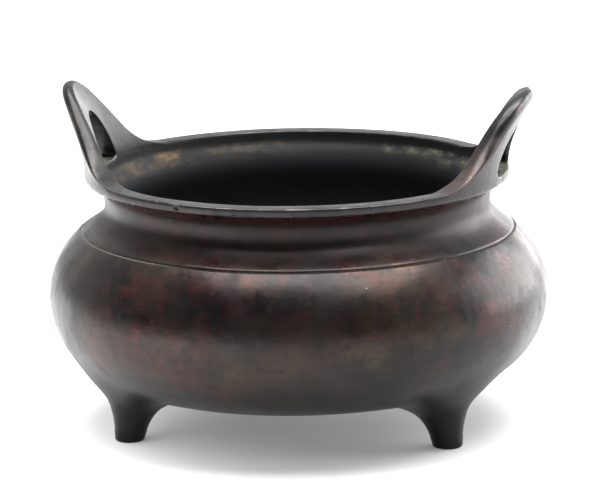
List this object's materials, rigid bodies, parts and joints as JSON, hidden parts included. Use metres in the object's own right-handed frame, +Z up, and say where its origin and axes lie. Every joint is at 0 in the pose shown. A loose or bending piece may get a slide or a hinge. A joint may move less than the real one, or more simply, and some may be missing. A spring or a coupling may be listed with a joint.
{
  "type": "bronze ding vessel",
  "caption": "Round-bellied cast bronze tripod vessel with a coved neck, flat lip, upright loop handles and short conical feet.",
  "frame": {"origin": "centre of the footprint, on the surface the feet stand on", "axes": "+Z up along the bowl's axis; the two handles lie on the X axis; one foot points along +Y and the other two stand at 30 degrees to -Y's sides, towards +X and -X"},
  "size_m": [0.18, 0.18, 0.1246],
  "materials": {
    "bronze": "cast bronze with a dark brown satin patina, dull red flecks, grey-green mottling and small worn bright spots"
  },
  "bodies": {
    "root": {"vessel": "bronze"}
  },
  "joints": []
}
